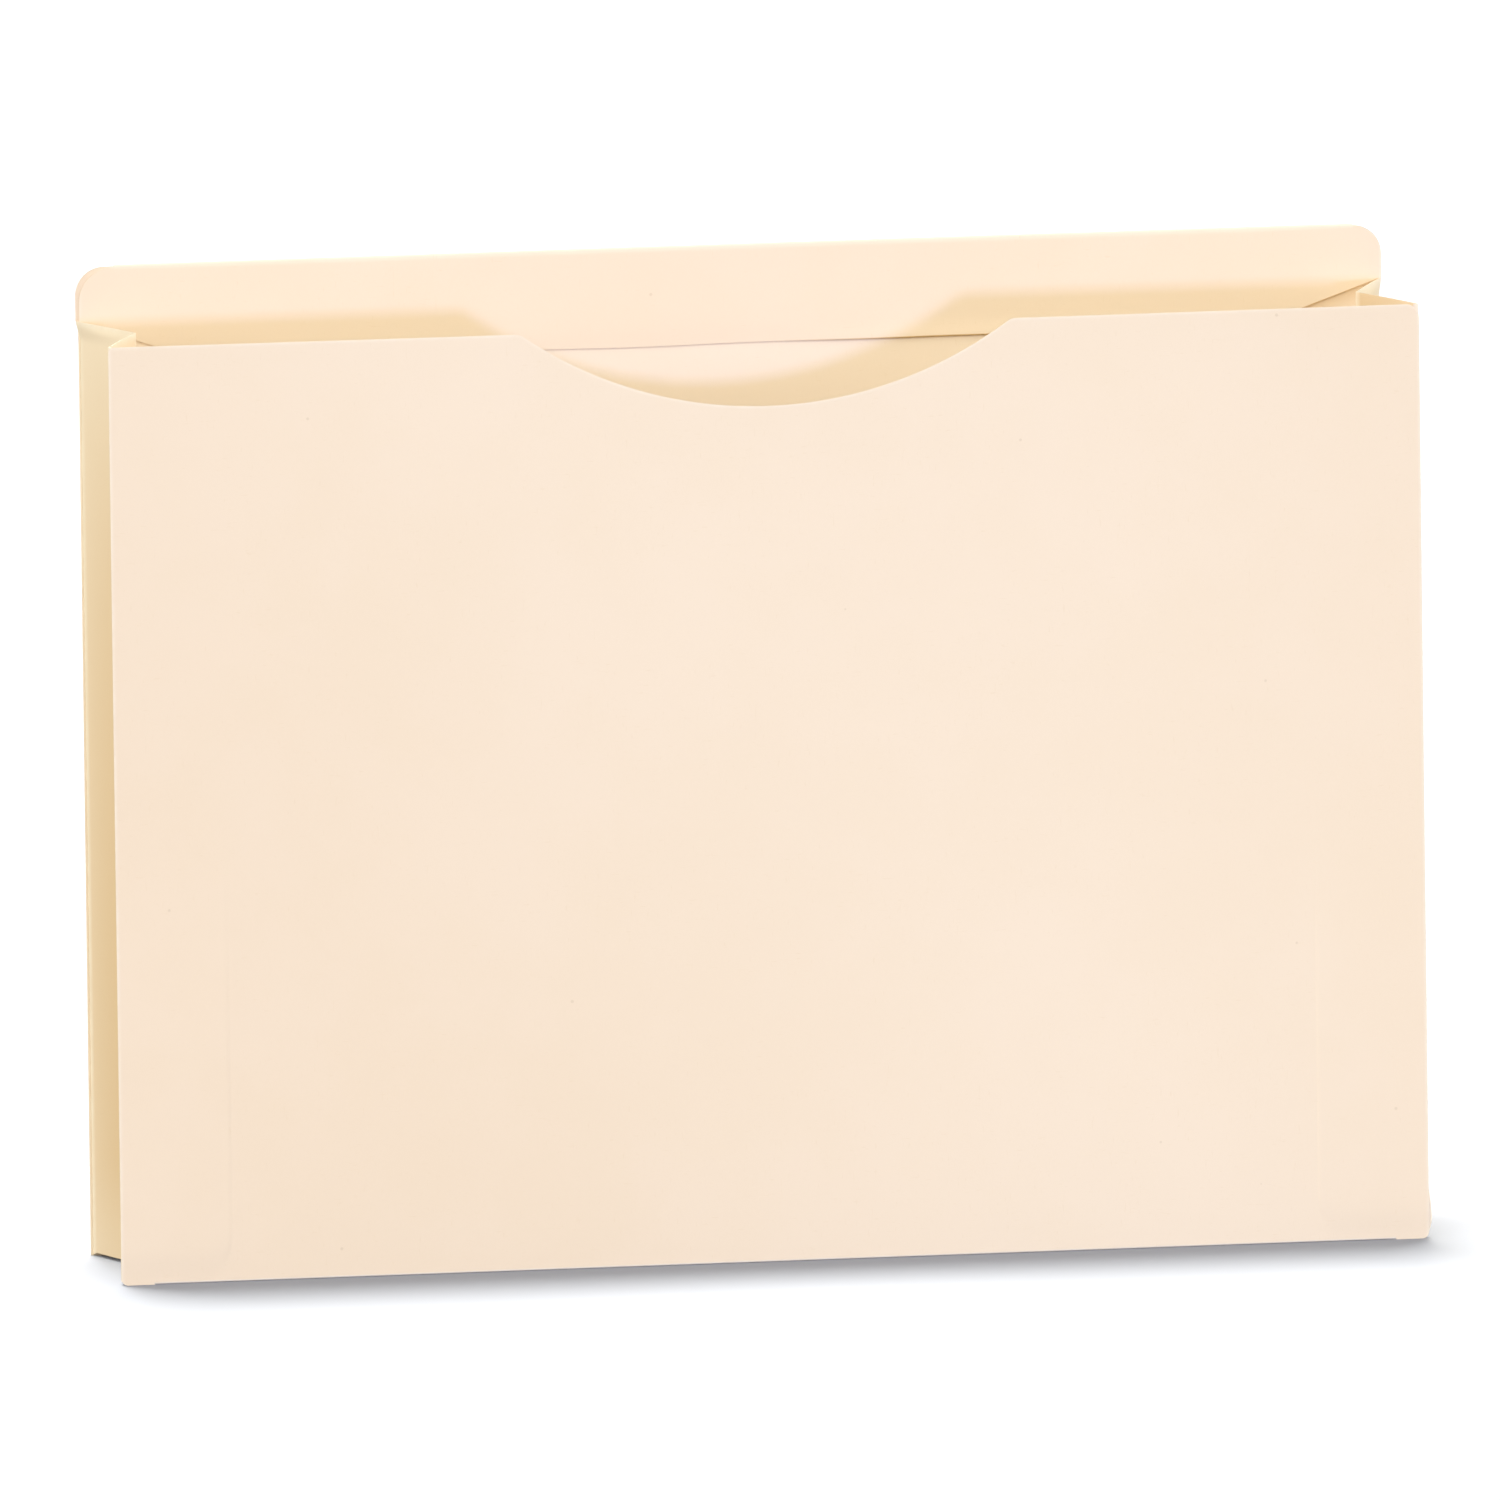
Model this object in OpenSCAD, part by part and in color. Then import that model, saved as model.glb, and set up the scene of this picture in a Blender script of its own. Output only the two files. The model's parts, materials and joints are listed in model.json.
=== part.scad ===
// Expansion file jacket, standing open: a back panel with a double-ply tab, a front panel with a
// thumb cut, and three pleats of card that fold inward at the sides and along the bottom.
// +Z is up and the mouth is at the top. The front panel faces -Y. All sizes are in millimetres.

/* [Panels] */
// Width of the front and back panels
panel_w = 298.5; // [220:0.5:400]
// Height of the front panel
front_h = 212.5; // [140:0.5:320]
// Height that the tab stands above the front panel
tab_h = 12.5; // [9:0.5:30]
// Thickness of the card
board_t = 0.28; // [0.2:0.02:0.4]
// Radius of the front panel's upper corners
panel_corner_r = 3; // [1:0.5:6]
// Radius of both panels' lower corners
foot_corner_r = 1.5; // [0.5:0.5:4]
// Radius of the tab's upper corners
tab_corner_r = 6.5; // [3:0.5:8]

/* [Thumb cut] */
// Width of the thumb cut along the front panel's upper edge
thumb_w = 112; // [50:1:150]
// Depth of the thumb cut at its middle
thumb_d = 18; // [8:0.5:24]
// Radius that eases both ends of the thumb cut
thumb_ease_r = 3; // [1:0.5:8]

/* [Pleats] */
// Width of each leaf of a pleat, from fold to fold
leaf_w = 25.4; // [16:0.2:40]
// Angle between a leaf and its panel as the jacket stands
leaf_angle = 68; // [40:1:85]
// Angle between a leaf and its panel when the jacket is pressed flat
closed_angle = 3; // [2.5:0.5:6]
// Clearance between a folded leaf and what it lies against
leaf_clear = 0.1; // [0.08:0.02:0.2]
// Running gap round the rounded edge of a fold
fold_gap = 0.08; // [0.04:0.02:0.12]

/* [Tab ply] */
// Height of the ply folded over behind the mouth, from the tab's top edge
ply_h = 22.5; // [16:0.5:60]
// Distance that the ply's sloping ends reach in past the folded side leaves
ply_slope_reach = 3.4; // [1:0.2:20]

/* [Glue flaps] */
// Width of each glue flap on the front panel
flap_w = 25; // [16:0.5:40]
// Height of a flap's lower end above the panel's lower edge
flap_low = 4; // [2:0.5:12]
// Distance of a flap's upper end below the panel's upper edge
flap_drop = 6; // [2:0.5:15]
// Radius of a flap's inner corners
flap_corner_r = 6; // [2:0.5:8]
// Thickness of the dried glue
glue_t = 0.1; // [0.06:0.02:0.16]
// Width of the glue line on a flap
glue_line_w = 12; // [5:0.5:14]
// Margin of bare card round the glue
glue_margin = 4; // [2:0.5:6]

/* [Hidden] */
$fn = 96;

manila = "#fae7d2";
manila_inside = "#f3dcb6";
glue_tint = "#efe6cf";

// A fold's rounded edge is a bead on the fold's axis, which lies in the leaf's outer face
bead_r = board_t + leaf_clear - fold_gap;
// Distance from a panel's outer face to the axis of its fold
rear_stack = 2 * board_t + leaf_clear;
front_stack = 3 * board_t + glue_t + leaf_clear;
depth = 2 * leaf_w * sin(leaf_angle) + rear_stack + front_stack;
back_y = depth / 2;
front_y = -depth / 2;
rear_axis_y = back_y - rear_stack;
front_axis_y = front_y + front_stack;
side_axis_x = panel_w / 2 - bead_r;
bottom_axis_z = bead_r + leaf_clear;

// Side leaves stand on the bottom fold and end level with the front panel
side_leaf_low = bottom_axis_z + bead_r + leaf_clear;
side_leaf_h = front_h - side_leaf_low;
// From here inward, a side leaf pressed flat lies clear of one more thickness of card
leaf_clear_x = side_axis_x - (board_t + leaf_clear) / sin(closed_angle);
// Bottom leaves are cut back so that both pleats lie flat side by side in the corners
bottom_half = leaf_clear_x;
// A front leaf stops short of the rounded ridge that its rear leaf carries
front_leaf_w = leaf_w - bead_r - leaf_clear;

// The tab's top edge is one half-round bend round both plies and the glue between them
bend_r = board_t + glue_t / 2;
back_h = front_h + tab_h;
bend_z = back_h - bend_r;
ply_low = back_h - ply_h;
ply_y = back_y - 2 * board_t - glue_t;
// Below the mouth the ply's ends slope inward, so that the side leaves fold down past them
ply_shoulder_z = front_h + leaf_clear;
ply_low_half = panel_w / 2 - leaf_w - ply_slope_reach;

thumb_r = (thumb_w * thumb_w / 4 + thumb_d * thumb_d) / (2 * thumb_d);
thumb_z = front_h - thumb_d + thumb_r;
// Centre of the arc that eases an end of the thumb cut, and where it meets the cut
ease_z = front_h - thumb_ease_r;
ease_x = sqrt(pow(thumb_r + thumb_ease_r, 2) - pow(thumb_z - ease_z, 2));
ease_meet_x = ease_x * thumb_r / (thumb_r + thumb_ease_r);
ease_meet_z = thumb_z - (thumb_z - ease_z) * thumb_r / (thumb_r + thumb_ease_r);

flap_y = front_y + board_t + glue_t;
flap_high = front_h - flap_drop;
flap_inner_x = panel_w / 2 - flap_w;
glue_line_x = panel_w / 2 - (flap_w + glue_line_w) / 2;

// Outline of an upright sheet in X and Z, with round corners below and above
module sheet_outline(w, low, high, low_r, high_r) {
    middle = (low + high) / 2;
    translate([-w / 2, low + low_r]) square([w, high - low - low_r - high_r]);
    translate([low_r - w / 2, low]) square([w - 2 * low_r, middle - low]);
    translate([high_r - w / 2, middle]) square([w - 2 * high_r, high - middle]);
    for (side = [-1, 1]) {
        translate([side * (w / 2 - low_r), low + low_r]) circle(low_r);
        translate([side * (w / 2 - high_r), high - high_r]) circle(high_r);
    }
}

// Stands an outline upright, t thick, with its -Y face at y
module upright(y, t) {
    translate([0, y + t, 0]) rotate([90, 0, 0]) linear_extrude(t) children();
}

// Half-round bend along the tab's top edge, between the tab's round corners
module tab_bend() {
    bend_w = panel_w - 2 * tab_corner_r;
    translate([-bend_w / 2, back_y - bend_r, bend_z]) rotate([90, 0, 90]) linear_extrude(bend_w)
        intersection() {
            circle(bend_r);
            translate([-bend_r, 0]) square([2 * bend_r, bend_r]);
        }
}

// Round edge of a fold, along local Y at distance u from the leaf's first fold
module bead(u, length) {
    translate([u, length / 2, 0]) rotate([90, 0, 0]) cylinder(r = bead_r, h = length);
}

// Flat leaf: u runs along local X from its first fold, and its outer face is at local z = 0.
// Its length is near_l at the first fold and far_l at its other edge.
module leaf(width, near_l, far_l) {
    linear_extrude(board_t)
        polygon([[0, -near_l / 2], [width, -far_l / 2], [width, far_l / 2], [0, near_l / 2]]);
    bead(0, near_l);
}

module rear_leaf(near_l, far_l) {
    leaf(leaf_w, near_l, far_l);
    bead(leaf_w, far_l);
}

module front_leaf(near_l, far_l) {
    leaf(front_leaf_w, near_l, far_l);
}

// Places a leaf on the left rear fold, turned to the angle at which the jacket stands
module on_left_rear_fold() {
    translate([-side_axis_x, rear_axis_y, side_leaf_low + side_leaf_h / 2])
        rotate([0, 0, -leaf_angle]) rotate([-90, 0, 0]) children();
}

module on_left_front_fold() {
    translate([-side_axis_x, front_axis_y, side_leaf_low + side_leaf_h / 2])
        mirror([0, 1, 0]) rotate([0, 0, -leaf_angle]) rotate([-90, 0, 0]) children();
}

module on_bottom_rear_fold() {
    translate([0, rear_axis_y, bottom_axis_z])
        rotate([leaf_angle - 90, 0, 0]) rotate([0, 0, -90]) children();
}

module on_bottom_front_fold() {
    translate([0, front_axis_y, bottom_axis_z])
        mirror([0, 1, 0]) rotate([leaf_angle - 90, 0, 0]) rotate([0, 0, -90]) children();
}

module on_right() {
    mirror([1, 0, 0]) children();
}

// Back panel with the tab above the mouth
module back_panel() {
    color(manila)
        upright(back_y - board_t, board_t)
            sheet_outline(panel_w, 0, bend_z, foot_corner_r, tab_corner_r);
}

// Ply of full width above the mouth, with sloping ends below it
module ply_outline() {
    half = panel_w / 2;
    polygon([[-half, bend_z], [-half, ply_shoulder_z], [-leaf_clear_x, ply_shoulder_z], [-ply_low_half, ply_low],
             [ply_low_half, ply_low], [leaf_clear_x, ply_shoulder_z], [half, ply_shoulder_z], [half, bend_z]]);
}

// The tab's second ply, folded over from the back panel's top edge
module tab_ply() {
    color(manila) {
        upright(ply_y, board_t)
            intersection() {
                sheet_outline(panel_w, 0, bend_z, foot_corner_r, tab_corner_r);
                ply_outline();
            }
        tab_bend();
    }
}

// Glue between the tab's two plies
module tab_glue() {
    glue_x = ply_low_half - glue_margin;
    color(glue_tint)
        upright(ply_y + board_t, glue_t)
            translate([-glue_x, ply_low + glue_margin])
                square([2 * glue_x, bend_z - ply_low - 2 * glue_margin]);
}

// Flap at the end of a side pleat, glued behind the front panel
module left_glue_flap() {
    color(manila_inside)
        upright(flap_y, board_t)
            difference() {
                translate([-side_axis_x, flap_low])
                    square([side_axis_x - flap_inner_x, flap_high - flap_low]);
                for (corner = [[flap_low, 1], [flap_high, -1]])
                    translate([-flap_inner_x - flap_corner_r, corner[0] + corner[1] * flap_corner_r])
                        difference() {
                            translate([0, corner[1] < 0 ? 0 : -flap_corner_r])
                                square(flap_corner_r);
                            circle(flap_corner_r);
                        }
            }
}

module left_glue_line() {
    color(glue_tint)
        upright(front_y + board_t, glue_t)
            translate([-glue_line_x, flap_low + glue_margin])
                square([glue_line_w, flap_high - flap_low - 2 * glue_margin]);
}

module left_rear_leaf() {
    color(manila_inside) on_left_rear_fold() rear_leaf(side_leaf_h, side_leaf_h);
}

module left_front_leaf() {
    color(manila_inside) on_left_front_fold() front_leaf(side_leaf_h, side_leaf_h);
}

module right_rear_leaf() {
    on_right() left_rear_leaf();
}

module right_front_leaf() {
    on_right() left_front_leaf();
}

module right_glue_flap() {
    on_right() left_glue_flap();
}

module right_glue_line() {
    on_right() left_glue_line();
}

// Bottom leaves are mitred, so that they pass beside the side leaves as all three pleats close
module bottom_rear_leaf() {
    color(manila_inside) on_bottom_rear_fold() rear_leaf(2 * bottom_half, 2 * (bottom_half - leaf_w));
}

module bottom_front_leaf() {
    color(manila_inside)
        on_bottom_front_fold() front_leaf(2 * bottom_half, 2 * (bottom_half - front_leaf_w));
}

// Arc through the front panel's upper edge, with eased ends
module thumb_cut() {
    translate([0, thumb_z]) circle(thumb_r, $fn = 360);
    for (side = [0, 1]) mirror([side, 0])
        difference() {
            translate([ease_meet_x, ease_meet_z])
                square([ease_x - ease_meet_x, front_h - ease_meet_z + thumb_ease_r]);
            translate([ease_x, ease_z]) circle(thumb_ease_r);
        }
}

module front_panel() {
    color(manila)
        upright(front_y, board_t)
            difference() {
                sheet_outline(panel_w, 0, front_h, foot_corner_r, panel_corner_r);
                thumb_cut();
            }
}

back_panel();
tab_ply();
tab_glue();
left_rear_leaf();
left_front_leaf();
left_glue_flap();
left_glue_line();
right_rear_leaf();
right_front_leaf();
right_glue_flap();
right_glue_line();
bottom_rear_leaf();
bottom_front_leaf();
front_panel();
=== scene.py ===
"""Looks of a manila file jacket that stands open on its bottom fold.

The real jacket is one scored sheet of card, so each piece here is a stretch of that sheet with its true
thickness, drawn round the folds it crosses. Lengths are in metres, in the part's own frame:
X across, -Y to the front, +Z up to the mouth.
"""
import json
import math

import bmesh
import bpy
from mathutils import Matrix, Vector


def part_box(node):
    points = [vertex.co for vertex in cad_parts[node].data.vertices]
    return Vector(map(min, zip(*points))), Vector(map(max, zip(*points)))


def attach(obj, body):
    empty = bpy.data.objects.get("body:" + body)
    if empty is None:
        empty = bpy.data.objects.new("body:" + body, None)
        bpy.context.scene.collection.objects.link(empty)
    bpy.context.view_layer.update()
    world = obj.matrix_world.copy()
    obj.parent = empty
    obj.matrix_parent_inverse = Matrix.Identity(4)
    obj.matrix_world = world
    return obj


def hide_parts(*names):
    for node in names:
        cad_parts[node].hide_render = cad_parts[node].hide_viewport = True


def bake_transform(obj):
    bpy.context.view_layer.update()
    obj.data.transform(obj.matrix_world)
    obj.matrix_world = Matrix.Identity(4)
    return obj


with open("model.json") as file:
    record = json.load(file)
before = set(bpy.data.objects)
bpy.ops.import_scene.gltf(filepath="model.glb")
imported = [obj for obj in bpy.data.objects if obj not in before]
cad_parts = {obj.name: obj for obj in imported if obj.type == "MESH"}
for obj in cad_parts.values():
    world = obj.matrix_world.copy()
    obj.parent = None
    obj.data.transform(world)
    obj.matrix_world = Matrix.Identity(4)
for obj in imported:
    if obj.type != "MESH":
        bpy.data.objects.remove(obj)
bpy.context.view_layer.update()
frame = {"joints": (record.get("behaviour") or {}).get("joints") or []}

MM = 0.001
LEFT = -1
RIGHT = 1

# Stations or places closer together than this are one
SAME_STATION = 0.01 * MM
SAME_PLACE = 0.001 * MM

# Sizes read from the frame
front_low, front_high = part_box("front_panel")
back_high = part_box("back_panel")[1]
ply_low, ply_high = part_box("tab_ply")
flap_low, flap_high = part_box("left_glue_flap")
leaf_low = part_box("left_rear_leaf")[0]
bottom_leaf_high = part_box("bottom_rear_leaf")[1]
fold_at = {joint["name"]: Vector(joint["pos_m"]) for joint in frame["joints"]}

board = front_high.y - front_low.y
half_w = front_high.x
mouth_z = front_high.z
tab_z = ply_high.z
back_y = back_high.y - board / 2
front_y = front_low.y + board / 2
ply_y = ply_low.y + board / 2
flap_y = flap_high.y - board / 2
flap_inner_x = -flap_high.x
bend_r = (back_y - ply_y) / 2
bend_z = tab_z - bend_r - board / 2
bottom_half = bottom_leaf_high.x
ridge = fold_at["left_ridge_fold"]
leaf_run = Vector((ridge.x - fold_at["left_rear_fold"].x, ridge.y - fold_at["left_rear_fold"].y))
leaf_w = leaf_run.length
leaf_tilt = math.atan2(-leaf_run.y, leaf_run.x)

# Outline of the die-cut sheet
PANEL_CORNER_R = 3.0 * MM
SQUARED_CORNER_R = 1.0 * MM
FOOT_CORNER_R = 1.5 * MM
TAB_CORNER_R = 6.5 * MM
THUMB_W = 112.0 * MM
THUMB_D = 18.0 * MM
THUMB_EASE_R = 3.0 * MM
FLAP_CORNER_R = 6.0 * MM
LEAF_FOOT_RISE_W = 1.0 * MM
PLY_SLOPE_IN = 28.8 * MM
PLY_SHOULDER_RISE = 0.1 * MM
PLY_SKEW = 0.8 * MM
PLY_SKEW_CORNER_R = 8.0 * MM

# Folds
FOLD_R = 0.3 * MM
RIDGE_R = 0.6 * MM
FOLD_SETBACK = 0.05 * MM
SEAM_IN = 2.6 * MM
RIDGE_STRIP = 3.0 * MM
LIP = 0.6 * MM
BOTTOM_FOLD_RISE = 0.02 * MM
CORNER_RELIEF = 0.05 * MM
MITRE_EASE = 0.075
FLAP_START = 4 * FOLD_R

# Steps that round folds and glue films are drawn in, and the angle from which an edge stays crisp
FOLD_STEPS = 10
GLUE_STEP = 4.0 * MM
CRISP_ANGLE = math.radians(40)

# Set that the card has taken: panels that belly outward, flaps that show through, folds that have crept
FRONT_BELLY = 1.3 * MM
BACK_BELLY = 0.9 * MM
LEAF_BELLY = 0.35 * MM
LEAF_WAVE = 0.25
LEAF_WAVE_LENGTH = 31.0 * MM
LEAF_LEAN = 0.45 * MM
LEAF_LEAN_H = 2.3 * MM
FLAP_PRINT = 0.2 * MM
FLAP_PRINT_W = 1.0 * MM
FLAP_PRINT_SOFTEN = 6.0
FLAP_PRINT_LOW = 45.0 * MM
FLAP_PRINT_HIGH = 110.0 * MM
PLY_LIFT = 0.38 * MM
PLY_LIFT_H = 4.0 * MM
PLY_SPRING_X = 5.0 * MM
PLY_SPRING_W = 38.0 * MM
PLY_PRESS = 0.08 * MM
PLY_WAVE = 0.22 * MM
PLY_WAVE_PARTS = ((0.6, 21.0 * MM, 0.0), (0.4, 8.3 * MM, 1.0))
REAR_CREEP = {LEFT: 1.0 * MM, RIGHT: 0.5 * MM}
REAR_CREEP_H = 4.5 * MM
FOOT_BULGE = 0.9 * MM
FOOT_BULGE_LOW = 4.5 * MM
FOOT_BULGE_HIGH = 15.0 * MM
FOOT_BULGE_REACH = 5.0 * MM
WORN_W = 0.9 * MM
EDGE_WEAR = 0.6

# Depth of the manila colour, 0 pale to 1 deep and more for dark brown; much of it is painted shade and
# light
PLAIN_SHADE = 0.3
TAB_SHADE = 0.34
BEND_SHADE = 0.0
# Painted shade: the strip of the tab that the askew front ply leaves bare is drawn darker
BARE_SHADE = 0.55
# The back panel's inside is painted paler than its back face, a painted light inside the pocket
BACK_SHADE = 0.12
# Painted shade: the front panel is darker and yellower towards its left foot and its right side
LEFT_FOOT_SHADE = 0.2
LEFT_FOOT_START = 0.6
LEFT_FOOT_ACROSS = 0.7
LEFT_FOOT_UP = 0.75
RIGHT_SIDE_SHADE = 0.1
RIGHT_SIDE_START = 0.5
RIGHT_SIDE_RISE = 1.6
# Painted shade in the side pleats, deeper towards the ridge, and a paler painted light near their mouths
# and feet
FOLD_SHADE = 0.5
RIDGE_SHADE = 1.3
MOUTH_SHADE = {LEFT: 0.25, RIGHT: 0.8}
LEAF_SHADE_H = 45.0 * MM
FOOT_SHADE = 0.35
FOOT_SHADE_H = 25.0 * MM
# Painted shade: the bottom leaves deepen over this width from the panels' feet
BOTTOM_SHADE_W = 4.0 * MM
SHADE_FADE = 2.0 * MM
BARE_FADE = 0.4 * MM
# Painted shadow on the back panel along the lower edge of the tab's front ply, darker on the right
PLY_SHADOW_LEFT = 0.4
PLY_SHADOW_RIGHT = 1.6
PLY_SHADOW_H = 0.6 * MM
# Painted shade: the ply's lower cut edge is drawn dark brown, more so on the right
PLY_EDGE_SHADE_LEFT = 0.4
PLY_EDGE_SHADE_RIGHT = 1.8
PLY_EDGE_SHARE = 0.012
# Painted shade: a darker wedge on the back panel under the front ply's sloping right end
PLY_END_SHADE = 0.9
PLY_END_SHADE_H = 4.5 * MM


def smooth(share):
    """Eases from 0 to 1."""
    share = min(max(share, 0.0), 1.0)
    return share * share * (3.0 - 2.0 * share)


def spread(start, end, count):
    """Even stations from start to end, both ends included."""
    return [start + (end - start) * step / count for step in range(count + 1)]


def stations(*stretches):
    """All the stations of several stretches, in order, each one once."""
    found = {}
    for stretch in stretches:
        for place in stretch:
            found.setdefault(round(place / SAME_STATION), place)
    return [found[key] for key in sorted(found)]


def both_sides(places):
    """Stations from the middle out, repeated on the other side."""
    return stations([-place for place in places], places)


# The card


class Card:
    """A stretch of the sheet, laid out as its middle surface and then given its thickness."""

    def __init__(self, name, thickness=board):
        self.name = name
        self.thickness = thickness
        self.points = []
        self.wear_and_highlight = []
        self.shade = []
        self.faces = []
        self.found = {}

    def point(self, place, wear_and_highlight, shade):
        """Index of the point there. A point that another patch already has is used again."""
        key = tuple(round(value / SAME_PLACE) for value in place)
        if key not in self.found:
            self.found[key] = len(self.points)
            self.points.append(tuple(place))
            self.wear_and_highlight.append(wear_and_highlight)
            self.shade.append(shade)
        return self.found[key]

    def patch(self, columns, rows, lay):
        """Quads between columns and rows. lay(column, row) gives a place, its wear_and_highlight value and
        its shade, or None.
        """
        grid = [[lay(column, row) for row in rows] for column in columns]
        index = [[spot and self.point(*spot) for spot in line] for line in grid]
        for left, right in zip(index, index[1:]):
            for low in range(len(rows) - 1):
                corners = (left[low], right[low], right[low + 1], left[low + 1])
                if None not in corners and len(set(corners)) == 4:
                    self.faces.append(corners)

    def cut(self, finish, edge, plain_back=False):
        """The mesh object, with the thickness of the card and its own material on the cut edges.

        plain_back gives the side that looks to the back the plain shade.
        """
        mesh = bpy.data.meshes.new(self.name)
        mesh.from_pydata(self.points, [], self.faces)
        face_one_way(mesh)
        for title, values in (("wear_and_highlight", self.wear_and_highlight), ("shade", self.shade)):
            layer = mesh.attributes.new(title, "FLOAT", "POINT")
            layer.data.foreach_set("value", values)
        piece = bpy.data.objects.new(self.name, mesh)
        bpy.context.scene.collection.objects.link(piece)
        mesh.materials.append(finish)
        mesh.materials.append(edge)
        body = piece.modifiers.new("thickness", "SOLIDIFY")
        body.thickness = self.thickness
        body.offset = 0.0
        body.use_even_offset = True
        body.use_rim = True
        body.material_offset_rim = 1
        settle(piece)
        if plain_back:
            shade_back(piece.data)
        return piece


def shade_back(mesh):
    """Gives the faces that look to the back the plain shade, eased in as they turn that way."""
    layer = mesh.attributes["shade"].data
    turn_start = 0.2
    turn_span = 0.6
    for point in mesh.vertices:
        share = smooth((point.normal.y - turn_start) / turn_span)
        layer[point.index].value += (PLAIN_SHADE - layer[point.index].value) * share


def face_one_way(mesh):
    """Turns all the faces of a surface to the same side, and those of a closed form outward."""
    form = bmesh.new()
    form.from_mesh(mesh)
    bmesh.ops.recalc_face_normals(form, faces=form.faces)
    for face in form.faces:
        face.smooth = True
    form.to_mesh(mesh)
    form.free()


def settle(piece):
    """Applies the piece's modifiers, and keeps its cut edges crisp."""
    shown = piece.evaluated_get(bpy.context.evaluated_depsgraph_get())
    mesh = bpy.data.meshes.new_from_object(shown)
    piece.modifiers.clear()
    piece.data = mesh
    face_one_way(mesh)
    mesh.set_sharp_from_angle(angle=CRISP_ANGLE)


def bent_line(corners, radius, straight):
    """Points along a line in a plane with its inner corners rounded, each with its distance from the fold.

    straight says how many steps each straight stretch takes.
    """
    line = [(corners[0], (corners[1] - corners[0]).length)]
    last = corners[0]
    for number in range(1, len(corners) - 1):
        corner = corners[number]
        back = (corners[number - 1] - corner).normalized()
        ahead = (corners[number + 1] - corner).normalized()
        half = math.acos(max(-1.0, min(1.0, back.dot(ahead)))) / 2
        reach = radius / math.tan(half)
        centre = corner + (back + ahead).normalized() * (radius / math.sin(half))
        start = corner + back * reach
        for share in spread(0.0, 1.0, straight[number - 1])[1:]:
            place = last.lerp(start, share)
            line.append((place, (corner - place).length))
        turn = (start - centre).angle_signed(corner + ahead * reach - centre)
        for step in range(1, FOLD_STEPS + 1):
            place = (start - centre).copy()
            place.rotate(Matrix.Rotation(-turn * step / FOLD_STEPS, 2))
            line.append((centre + place, 0.0))
        last = corner + ahead * reach
    for share in spread(0.0, 1.0, straight[-1])[1:]:
        place = last.lerp(corners[-1], share)
        line.append((place, (corners[-2] - place).length))
    return line


def wear_near(distance):
    """Wear from 1 on a fold or a cut edge to none a little way off."""
    return smooth(1.0 - distance / WORN_W)


# Shape of the panels


def rounded_end(x, flat_half, radius, level):
    """Height of a top edge with a round corner at its end, at x from the middle."""
    over = abs(x) - (flat_half - radius)
    if over <= 0:
        return level
    return level - radius + math.sqrt(max(radius * radius - over * over, 0.0))


thumb_r = (THUMB_W ** 2 / 4 + THUMB_D ** 2) / (2 * THUMB_D)
thumb_centre_z = mouth_z - THUMB_D + thumb_r
ease_centre_z = mouth_z - THUMB_EASE_R
ease_x = math.sqrt((thumb_r + THUMB_EASE_R) ** 2 - (thumb_centre_z - ease_centre_z) ** 2)
ease_meet_x = ease_x * thumb_r / (thumb_r + THUMB_EASE_R)


def front_top(x):
    """Upper edge of the front panel: the thumb cut, its eased ends and the round corners."""
    across = abs(x)
    if across <= ease_meet_x:
        return thumb_centre_z - math.sqrt(thumb_r ** 2 - across ** 2)
    if across < ease_x:
        return ease_centre_z + math.sqrt(THUMB_EASE_R ** 2 - (ease_x - across) ** 2)
    return rounded_end(x, half_w, PANEL_CORNER_R if x > 0 else SQUARED_CORNER_R, mouth_z)


def tab_edge(x):
    """Upper edge of the back panel's tab, below the bend."""
    return rounded_end(x, half_w, TAB_CORNER_R, bend_z)


shoulder_z = mouth_z + PLY_SHOULDER_RISE
ply_low_half = half_w - PLY_SLOPE_IN
ply_left = -(half_w - PLY_SKEW)
bend_left = ply_left + PLY_SKEW_CORNER_R
bend_right = half_w - TAB_CORNER_R


def ply_top(x):
    """Upper edge of the tab's front ply, folded a little askew: its left end lies in from the tab's."""
    if x < 0:
        return rounded_end(x, -ply_left, PLY_SKEW_CORNER_R, bend_z)
    return tab_edge(x)


def ply_foot(x):
    """Lower edge of the front ply: a little wavy, with ends that slope up to the tab's sides."""
    slope = max((abs(x) - ply_low_half) / PLY_SLOPE_IN, 0.0)
    wave = sum(share * math.sin(x / length + start) for share, length, start in PLY_WAVE_PARTS)
    return ply_low.z + (shoulder_z - ply_low.z) * slope + PLY_WAVE * wave * (1.0 - min(slope, 1.0))


def ply_spring(x):
    """How far the front ply's lower edge has sprung off the back: 0 on the left, 1 on the right."""
    return smooth((x - PLY_SPRING_X) / PLY_SPRING_W)


def front_belly(x, z):
    """How far the front panel stands out of its plane."""
    return -FRONT_BELLY * (1.0 - (x / half_w) ** 2) * smooth(z / mouth_z)


def back_belly(x, z):
    """How far the back panel and the tab stand out of their plane."""
    return BACK_BELLY * (1.0 - (x / half_w) ** 2) * smooth(z / tab_z)


def front_shade(x, z):
    """Painted shade on the front panel: the colour deepens towards its left foot and its right side."""
    across = x / half_w
    up = z / mouth_z
    left_foot = smooth(LEFT_FOOT_START - LEFT_FOOT_ACROSS * across - LEFT_FOOT_UP * up)
    right_side = smooth(RIGHT_SIDE_RISE * (across - RIGHT_SIDE_START))
    return PLAIN_SHADE + LEFT_FOOT_SHADE * left_foot + RIGHT_SIDE_SHADE * right_side


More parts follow.
